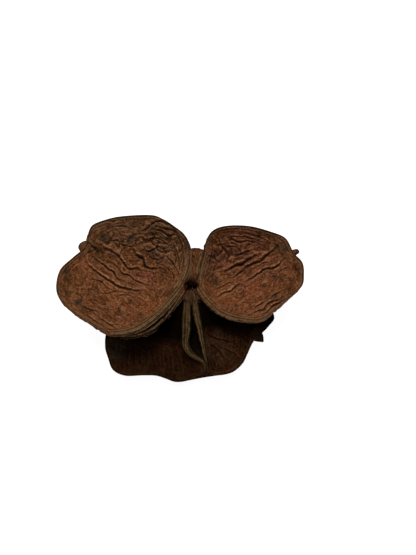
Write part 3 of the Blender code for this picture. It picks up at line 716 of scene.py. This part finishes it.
def strip_between(carpel, face_a, face_b, on_slit, is_open):
    """Rows across the back, which turn into striped lips and a pocket along the slit."""
    share, *edges = np.array(carpel["gap"]).T
    slit_share = np.clip(np.arange(len(on_slit)) / (carpel["steps"][0] - 1), 0, 1)
    gap_a, gap_b = (np.interp(slit_share, share, edge) for edge in edges)
    ring_a = face_a.row(1.0)
    ring_b = face_b.row(1.0)
    middle = (ring_a + ring_b) / 2
    tangent = unit(np.roll(middle, -1, axis=0) - np.roll(middle, 1, axis=0))
    across = unit(ring_b - ring_a)
    out = middle - middle.mean(axis=0)
    out = out - tangent * (out * tangent).sum(axis=1, keepdims=True)
    out = unit(out - across * (out * across).sum(axis=1, keepdims=True))
    back_out = out
    if "bulge_way" in carpel:
        back_out = np.broadcast_to(unit(np.array(carpel["bulge_way"])), out.shape)
    gap = np.linalg.norm(ring_b - ring_a, axis=1)
    around = lengths_along(middle)
    profile = np.array(carpel["lips"])
    last = len(profile) - 1
    rows, marks = [], []
    for i in np.linspace(0, last, STRIP_ROWS)[1:-1]:
        place, lip, pocket, tan_lip = (np.interp(i, range(last + 1), column) for column in profile.T)
        plain = i / last
        inner = abs(place) < LIP_EDGE
        outer_share = (1 - abs(place)) / (1 - LIP_EDGE)
        if inner:
            here = (gap_a + gap_b) / 2 + place / LIP_EDGE * (gap_b - gap_a) / 2
        elif place < 0:
            here = -1 + outer_share * (gap_a + 1)
        else:
            here = 1 - outer_share * (1 - gap_b)
        height = CLOSED_HEIGHT + (lip - CLOSED_HEIGHT) * is_open if inner else lip
        sunk = 1 - carpel["pocket"] * pocket * is_open
        at_a = face_a.row(sunk)
        at_b = face_b.row(sunk)
        along = middle + across * (0.7 * place)
        sway = 0.1 * waves(along, 1.6, 75) + 0.06 * waves(along, 0.6, 76)
        width = (ring_b - ring_a) * ((here + sway * (1 - abs(place))) / 2)[:, None]
        ragged = waves(along, 0.9, 71 + (place > 0)) + 0.7 * waves(along, 0.4, 73 + (place > 0))
        on_lip = 0.0 if abs(place) < 0.3 else min(1.0, (abs(place) - 0.3) / 0.15)
        fray = 0.24 * ragged * on_lip * (0.5 if abs(place) > 0.8 else 1.0)
        beside = np.stack([around / 2.4, np.full(len(around), 9 * place), middle[:, 2]], axis=1)
        strand = waves(beside, 1.0, 78)
        lift = carpel["lip"] * height + fray + 0.16 * strand * on_lip
        slit = (at_a + at_b) / 2 + width + out * lift[:, None]
        chord = ring_a + (ring_b - ring_a) * plain
        swell = math.sin(math.pi * plain)
        wrinkle, wrinkle_cut, wrinkle_crest = creased(chord, 3.2, 81)
        fine, fine_cut, fine_crest = creased(chord, SKIN_SIZE, 91)
        uneven = WAVE_HEIGHT * waves(chord, WAVE_SIZE, WAVE_SEED) * swell
        bulge = carpel["bulge"] * gap * swell**0.8 + uneven
        relief = (0.45 * (wrinkle - LEVEL) + 0.12 * (fine - LEVEL)) * min(1.0, 3 * swell)
        back = chord + back_out * (bulge + relief)[:, None]
        rows.append(back + (slit - back) * on_slit[:, None])
        patchy = np.clip(0.95 + 0.4 * waves(middle, 3.0, 77) + 0.25 * ragged + 0.9 * strand, 0.2, 1.5)
        off_slit = 1 - on_slit
        by_edge = max(0.0, 1 - 20 * min(plain, 1 - plain))
        tan = carpel["lip_tan"] * tan_lip * patchy * on_slit + 0.18 * off_slit * by_edge
        # Painted shade in the open slit, in the dark lines between the lips' tan stripes, over the
        # lips, between their fibres, and in the creases of the back
        dark = max(0.0, min(1.0, 3.2 - 2.5 * abs(place) / LIP_EDGE))
        dark = max(dark, on_lip * max(0.0, 0.75 - 1.4 * tan_lip), LIP_SHADE * max(0.0, 1 - 2 * tan_lip))
        between = 0.9 * np.clip(-strand - 0.1, 0, 1) * on_slit
        painted_shade = most(dark * on_slit, between, (0.5 * wrinkle_cut + 0.3 * fine_cut) * off_slit)
        crest_highlight = (0.5 * wrinkle_crest + 0.3 * fine_crest) * off_slit
        if carpel is not FRONT and place < 0:
            # Tan streaks of the notch's margins, and painted shade in the lines between them and in the
            # hollows
            streak, cut, hollow_shade = notch_marks(rows[-1])
            tan = most(tan, 0.8 * streak * off_slit)
            painted_shade = most(painted_shade * (1 - 0.8 * streak * off_slit), 0.8 * cut, hollow_shade)
        marks.append(mark_columns(tan, painted_shade, 0.0, crest_highlight, 0.9 * on_slit))
    return rows, marks


def carpel_rows(carpel, notch_from):
    """All rows of points of one closed carpel with their marks. notch_from is the share of the rim
    from which on it is striped, beside the notch."""
    ring_a, ring_b, on_slit, is_open = rings(carpel)
    between = ring_b.mean(axis=0) - ring_a.mean(axis=0)
    face_a = Face(ring_a, carpel["dish_a"], between)
    face_b = Face(ring_b, carpel["dish_b"], -between)
    rim_share = np.linspace(0, 1, carpel["steps"][1])
    striped = np.clip((rim_share - notch_from) * 8, 0, 1)
    margin = np.concatenate([np.full(carpel["steps"][0], 0.8), striped])
    margin = np.convolve(np.concatenate([margin[-6:], margin, margin[:6]]), np.ones(13) / 13, "valid")
    count_a, count_b = carpel["rows"]
    rows, marks = face_rows(face_a, count_a, carpel, ring_a, margin, True)
    strip, strip_marks = strip_between(carpel, face_a, face_b, on_slit, is_open)
    other, other_marks = face_rows(face_b, count_b, carpel, ring_b, 0.5 * margin, carpel is FRONT)
    rows += strip + other[::-1]
    marks += strip_marks + other_marks[::-1]
    for row in rows:
        row[:, 2] = np.maximum(row[:, 2], 0.0)
    return rows, marks


def link_object(name, data):
    obj = bpy.data.objects.new(name, data)
    bpy.context.scene.collection.objects.link(obj)
    return obj


def mesh_object(name, places, faces, marks):
    """A smooth mesh through these places, with a row of marks for each as its attributes."""
    mesh = bpy.data.meshes.new(name)
    mesh.from_pydata(((places - np.array(BOX_MIDDLE)) * MILLIMETRE).tolist(), [], faces)
    mesh.update()
    mesh.shade_smooth()
    for mark, values in zip(MARKS, marks.T):
        layer = mesh.attributes.new(mark, "FLOAT", "POINT")
        layer.data.foreach_set("value", values.astype("f4"))
    return link_object(name, mesh)


def signed_volume(mesh):
    form = bmesh.new()
    form.from_mesh(mesh)
    volume = form.calc_volume(signed=True)
    form.free()
    return volume


def closed_object(name, rows, marks):
    """A closed mesh through rings of points, whose first and last rings stand for single points."""
    count = len(rows[0])
    places, values = (np.vstack([a[0][:1], *a[1:-1], a[-1][:1]]) for a in (rows, marks))
    low = len(places) - 1 - count
    k = np.arange(count)
    n = (k + 1) % count
    faces = np.stack([0 * k, 1 + k, 1 + n], axis=1).tolist()
    for near in range(1, low, count):
        far = near + count
        faces += np.stack([near + k, far + k, far + n, near + n], axis=1).tolist()
    faces += np.stack([0 * k + len(places) - 1, low + n, low + k], axis=1).tolist()
    obj = mesh_object(name, places, faces, values)
    if signed_volume(obj.data) < 0:
        obj.data.flip_normals()
    return obj


def lump(name, middle, half_sizes, uneven, streak, dark, olive):
    """An uneven rounded lump with streaks of fibre along Y. dark is its least painted shade."""
    sides, turns = 160, 90
    turn = 2 * math.pi * np.arange(sides) / sides
    rows, marks = [], []
    for i in range(turns + 1):
        polar = math.pi * i / turns
        level = np.full(sides, np.cos(polar))
        ring = np.stack([np.sin(polar) * np.cos(turn), np.sin(polar) * np.sin(turn), level], axis=1)
        swell = 1 + uneven * waves(ring * 10, 6.0, WAVE_SEED)[:, None]
        place = np.array(middle) + ring * swell * np.array(half_sizes)
        fibre, fibre_cut, fibre_crest = creased(place * (1, 0.22, 0.6), 0.8, 101)
        line, cut, hollow_shade = notch_marks(place)
        rows.append(place + ring * (streak * (fibre - LEVEL) + 0.35 * (line - cut))[:, None])
        tan = most(0.5 * np.clip(waves(place * (1, 0.2, 1), 1.2, 103), 0, 1), 0.8 * line)
        painted_shade = np.maximum(0.85 * fibre_cut, dark) * (1 - 0.8 * line)
        painted_shade = most(painted_shade, 0.85 * cut, hollow_shade)
        crest_highlight = 0.5 * fibre_crest * (1 - hollow_shade)
        marks.append(mark_columns(tan * (1 - hollow_shade), painted_shade, 0.0, crest_highlight, olive))
    return closed_object(name, rows, marks)


def taper(name, foot, tip, profile, sides, tan_tip):
    """A rough round bar from foot to tip. The profile is a list of places along it and radii."""
    foot = np.array(foot, float)
    axis = np.array(tip, float) - foot
    side = unit(np.cross(axis, (0.0, 0.0, 1.0)))
    up = unit(np.cross(side, axis))
    turn = 2 * math.pi * np.arange(sides) / sides
    circle = np.cos(turn)[:, None] * side + np.sin(turn)[:, None] * up
    wanted = np.linspace(0, len(profile) - 1, 44)
    steps, radii = (np.interp(wanted, range(len(profile)), column) for column in zip(*profile))
    rows, marks = [], []
    for place, radius in zip(steps, radii):
        ring = foot + axis * place + circle * radius
        rough = 0.16 * waves(ring, 1.3, 111) + 0.08 * waves(ring, 0.5, 112)
        rows.append(ring + circle * (rough * min(1.0, radius))[:, None])
        _, cut, crest_highlight = creased(ring, 0.8, 113)
        tan = tan_tip * min(1.0, max(0.0, place)) * np.clip(0.7 + waves(ring, 1.5, 114), 0, 1.3)
        # Painted shade in the cuts; the colour also darkens towards the tip
        painted_shade = np.maximum(0.8 * cut, 0.12 + 0.4 * place)
        marks.append(mark_columns(tan, painted_shade, 0.0, 0.6 * crest_highlight, 0.3))
    return closed_object(name, rows, marks)


def strands(name, lines, looks):
    """Thin tapered fibres, each along its own line of points with a radius, as one mesh with the
    same marks all over."""
    sides, steps = 5, 12
    places, faces = [], []
    turn = 2 * math.pi * np.arange(sides) / sides
    for line, radius in lines:
        path = smooth_curve(line, steps)
        way = unit(np.gradient(path, axis=0))
        side = unit(np.cross(way, (0.31, 0.2, 0.93)))
        up = np.cross(side, way)
        width = radius * np.sin(np.pi * np.linspace(0.04, 0.96, steps)) ** 0.5
        first = len(places)
        for p, s, u, w in zip(path, side, up, width):
            places.extend(p + w * (np.cos(turn)[:, None] * s + np.sin(turn)[:, None] * u))
        for i in range(first, len(places) - sides, sides):
            for k in range(sides):
                a, b = i + k, i + (k + 1) % sides
                faces.append((a, b, b + sides, a + sides))
        faces.append(tuple(range(first, first + sides))[::-1])
        faces.append(tuple(range(len(places) - sides, len(places))))
    return mesh_object(name, np.array(places), faces, np.tile(looks, (len(places), 1)))


def lip_fibres(carpel, rng, counts, reach):
    """Fibres along both lips of a slit, a little off them. reach is how far they come in from the
    rim, as a share of the slit's width."""
    lines = []
    slits = [smooth_curve(carpel[edge], 200) for edge in ("slit_a", "slit_b")]
    centre = np.array(carpel["rim_a"]).mean(axis=0)
    for curve, other, count in zip(slits, slits[::-1], counts):
        for _ in range(count):
            first = int(rng.integers(4, 170))
            length = int(rng.integers(8, 26))
            part = np.arange(first, min(first + length, 196), max(2, length // 4))
            inward = rng.uniform(0.02, reach)
            line = curve[part] + (other[part] - curve[part]) * inward
            away = unit(curve[part] - centre)
            lift = carpel["lip"] * rng.uniform(0.75, 1.12) + rng.normal(0, 0.12, len(part))
            line = line + away * lift[:, None] + rng.normal(0, 0.07, line.shape)
            lines.append((line, rng.uniform(0.05, 0.11)))
    return lines


def knot_fibres(rng, count):
    """Short fibres that stick out of the knot in all upward ways."""
    lines = []
    for _ in range(count):
        way = unit(np.array([rng.normal(0, 0.9), rng.normal(-0.25, 0.9), rng.uniform(0.1, 0.7)]))
        start = KNOT_MIDDLE + way * (1.2, 1.0, 0.8)
        end = KNOT_MIDDLE + way * rng.uniform(2.6, 4.4) * (1.0, 0.9, 0.55) + rng.normal(0, 0.25, 3)
        bend = (start + end) / 2 + rng.normal(0, 0.35, 3)
        lines.append((np.array([start, bend, end]), rng.uniform(0.09, 0.2)))
    return lines


class Nodes:
    """The nodes of one new material, and its shader."""

    def __init__(self, name):
        self.material = bpy.data.materials.new(name)
        self.material.use_nodes = True
        self.tree = self.material.node_tree
        self.shader = self.tree.nodes["Principled BSDF"]

    def add(self, kind, inputs=(), **settings):
        """A new node. inputs are pairs of a socket's name or number and what goes in."""
        node = self.tree.nodes.new("ShaderNode" + kind)
        for key, value in settings.items():
            setattr(node, key, value)
        for key, value in inputs:
            socket = node.inputs[key]
            if isinstance(value, bpy.types.NodeSocket):
                self.tree.links.new(value, socket)
            elif socket.type == "RGBA":
                socket.default_value = (*value, 1)
            else:
                socket.default_value = value
        return node

    def mapped(self, place, inputs, kind="POINT"):
        inputs = (("Vector", place), *inputs)
        return self.add("Mapping", inputs, vector_type=kind).outputs["Vector"]

    def noise(self, place, scale, detail, rough=0.6):
        inputs = (("Vector", place), ("Scale", scale), ("Detail", detail), ("Roughness", rough))
        return self.add("TexNoise", inputs).outputs["Fac"]

    def ramp(self, value, stops):
        """Colours or greys in place of a value."""
        node = self.add("ValToRGB", (("Fac", value),))
        elements = node.color_ramp.elements
        while len(elements) < len(stops):
            elements.new(0.5)
        for element, (place, colour) in zip(elements, stops):
            element.position = place
            element.color = (*np.broadcast_to(colour, 3).tolist(), 1)
        return node.outputs["Color"]

    def mix(self, kind, factor, a, b):
        inputs = ((0, factor), (6, a), (7, b))
        return self.add("Mix", inputs, data_type="RGBA", blend_type=kind).outputs[2]

    def maths(self, kind, *values, clamp=False):
        return self.add("Math", enumerate(values), operation=kind, use_clamp=clamp).outputs[0]

    def times(self, a, b, clamp=False):
        return self.maths("MULTIPLY", a, b, clamp=clamp)


def wrinkle_shade_and_highlight(nodes, place, degrees, scale, stretch, depth):
    """Thin lines of painted shade, each with a painted highlight beside it, drawn out along one way of
    the floor.
    """
    inputs = (("Rotation", (0, 0, math.radians(degrees))), ("Scale", (stretch, 1, 1)))
    level = nodes.noise(nodes.mapped(place, inputs, "TEXTURE"), scale, 3, 0.55)
    low, high = 1 - depth, 1 + 0.45 * depth
    return nodes.ramp(level, ((0.0, 1.0), (0.455, 1.0), (0.5, low), (0.54, high), (0.61, 1.0)))


def husk_material(name, colours, degrees):
    """Dry wrinkled skin: browns in blotches that turn olive or rosy in places, the olive near the far
    rims partly a painted sheen; painted highlights beside painted shade in the creases, tan rims and
    lips, and dull specks. Fine wrinkles, painted as shade and highlight, are drawn out along one way."""
    nodes = Nodes(name)
    times = nodes.times
    place = nodes.add("TexCoord").outputs["Object"]
    marks = {}
    for mark in MARKS:
        marks[mark] = nodes.add("Attribute", attribute_name=mark).outputs["Fac"]
    blotch = nodes.noise(place, 130, 6)
    tone = nodes.noise(place, 260, 4)
    mottle = nodes.noise(place, 900, 4, 0.7)
    grain = nodes.noise(place, 2300, 2, 0.7)
    streak = nodes.noise(nodes.mapped(place, (("Scale", (1.0, 0.35, 1.0)),)), 1500, 3)
    tone = nodes.maths("MULTIPLY_ADD", tone, 2.4, -1.2)
    streak = nodes.maths("MULTIPLY_ADD", streak, 1.1, 0.35)
    # Random mottle and grain, and the fine wrinkles' painted shade and highlight, all multiplied in
    shades = (
        nodes.ramp(mottle, ((0.28, 0.5), (0.72, 1.5))),
        *(wrinkle_shade_and_highlight(nodes, place, degrees, *looks) for looks in FINE_WRINKLES),
        nodes.ramp(grain, ((0.32, 0.48), (0.68, 1.52))),
    )
    layers = (
        # Olive from noise and the hue patches, partly a painted sheen near the far rims
        ("MIX", nodes.maths("ADD", tone, marks["hue_and_sheen"], clamp=True), colours["olive"]),
        ("MIX", times(marks["hue_and_sheen"], -1.0, True), colours["rosy"]),
        *(("MULTIPLY", 1.0, shade) for shade in shades),
        # Painted highlight: pale colour on the crests beside creases
        ("MIX", times(times(marks["crest_highlight"], grain), 1.7, True), colours["crest_highlight"]),
        ("MIX", times(marks["tan"], streak, True), colours["tan"]),
        # Painted shade: near-black mixed in where the second mark says
        ("MIX", times(marks["painted_shade"], 0.97, True), colours["painted_shade"]),
        ("MIX", times(times(times(marks["speck"], mottle), grain), 4.5, True), SPECK_COLOUR),
    )
    stops = ((0.3, colours["dark"]), (0.5, colours["plain"]), (0.7, colours["warm"]))
    colour = nodes.ramp(blotch, stops)
    for kind, factor, layer in layers:
        colour = nodes.mix(kind, factor, colour, layer)
    inputs = (("Strength", 0.6), ("Distance", 0.0003), ("Height", nodes.maths("ADD", mottle, grain)))
    bump = nodes.add("Bump", inputs)
    rough = nodes.maths("MULTIPLY_ADD", mottle, 0.2, 0.8)
    link = nodes.tree.links.new
    link(colour, nodes.shader.inputs["Base Color"])
    link(rough, nodes.shader.inputs["Roughness"])
    link(bump.outputs["Normal"], nodes.shader.inputs["Normal"])
    nodes.shader.inputs["Specular IOR Level"].default_value = 0.0
    return nodes.material


def dress(obj, material):
    obj.data.materials.append(material)
    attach(obj, "root")
    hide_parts("pod_husk")


def build_pod():
    left_skin = husk_material("left_skin", SKIN_COLOURS, LEFT["grain"])
    skin = husk_material("right_skin", SKIN_COLOURS, RIGHT["grain"])
    # Painted shade: the front carpel, its point and its fibres get the darker copy of the skin
    shaded = husk_material("front_skin_shaded", FRONT_SHADED_COLOURS, FRONT["grain"])
    rng = np.random.default_rng(FIBRE_SEED)
    dress(closed_object("carpel_left", *carpel_rows(LEFT, 0.8)), left_skin)
    dress(closed_object("carpel_right", *carpel_rows(RIGHT, 0.8)), skin)
    dress(closed_object("carpel_front", *carpel_rows(FRONT, 2.0)), shaded)
    for name, looks in LUMPS.items():
        dress(lump(name, *looks), skin)
    dress(taper("stalk_scar", STALK_FOOT, STALK_END, STALK_PROFILE, 64, 0.5), skin)
    for name, (foot, tip, radius, sharp, tan) in POINTS.items():
        places = np.linspace(0, 1, 24) ** 0.6
        profile = [(0, 0)] + [(place, radius * (1 - place**2) ** sharp) for place in places]
        point = taper(name, foot, tip, profile, 40, tan)
        dress(point, shaded if name == "front_point" else skin)
    dress(strands("fibres_left", lip_fibres(LEFT, rng, (34, 40), 0.26), FIBRE_MARKS), skin)
    dress(strands("fibres_right", lip_fibres(RIGHT, rng, (22, 0), 0.16), FIBRE_MARKS), skin)
    dress(strands("fibres_front", lip_fibres(FRONT, rng, (60, 0), 0.14), FIBRE_MARKS), shaded)
    dress(strands("fibres_knot", knot_fibres(rng, 70), KNOT_MARKS), skin)


def set_camera():
    camera = bpy.data.cameras.new("camera")
    camera.sensor_width = SENSOR
    camera.lens = SENSOR * FOCAL_PIXELS / PICTURE[1]
    obj = link_object("camera", camera)
    obj.location = (np.array(CAMERA_PLACE) - np.array(BOX_MIDDLE)) * MILLIMETRE
    obj.rotation_euler = (math.pi / 2 - CAMERA_DOWN, 0, 0)
    bpy.context.scene.camera = obj


def set_light():
    light = bpy.data.lights.new("key", "AREA")
    light.shape = "DISK"
    light.size = LIGHT_SIZE
    light.energy = LIGHT_POWER
    obj = link_object("key", light)
    place = np.array(LIGHT_PLACE)
    forward = unit(np.array(LIGHT_AIM) - place)
    obj.location = place
    obj.rotation_euler = (math.acos(-forward[2]), 0, math.atan2(forward[0], -forward[1]) + math.pi)


def set_stage():
    half = FLOOR_SIZE / 2
    mesh = bpy.data.meshes.new("floor")
    corners = [(-half, -half, 0), (half, -half, 0), (half, half, 0), (-half, half, 0)]
    mesh.from_pydata(corners, [], [(0, 1, 2, 3)])
    floor = link_object("floor", mesh)
    nodes = Nodes("floor")
    for key, value in FLOOR_LOOKS:
        nodes.shader.inputs[key].default_value = value
    mesh.materials.append(nodes.material)
    world = bpy.data.worlds.new("studio")
    world.use_nodes = True
    background = world.node_tree.nodes["Background"]
    background.inputs["Color"].default_value = WHITE
    background.inputs["Strength"].default_value = SKY_STRENGTH
    bpy.context.scene.world = world
    bpy.context.scene.view_settings.view_transform = "Standard"


build_pod()
set_camera()
set_stage()
set_light()
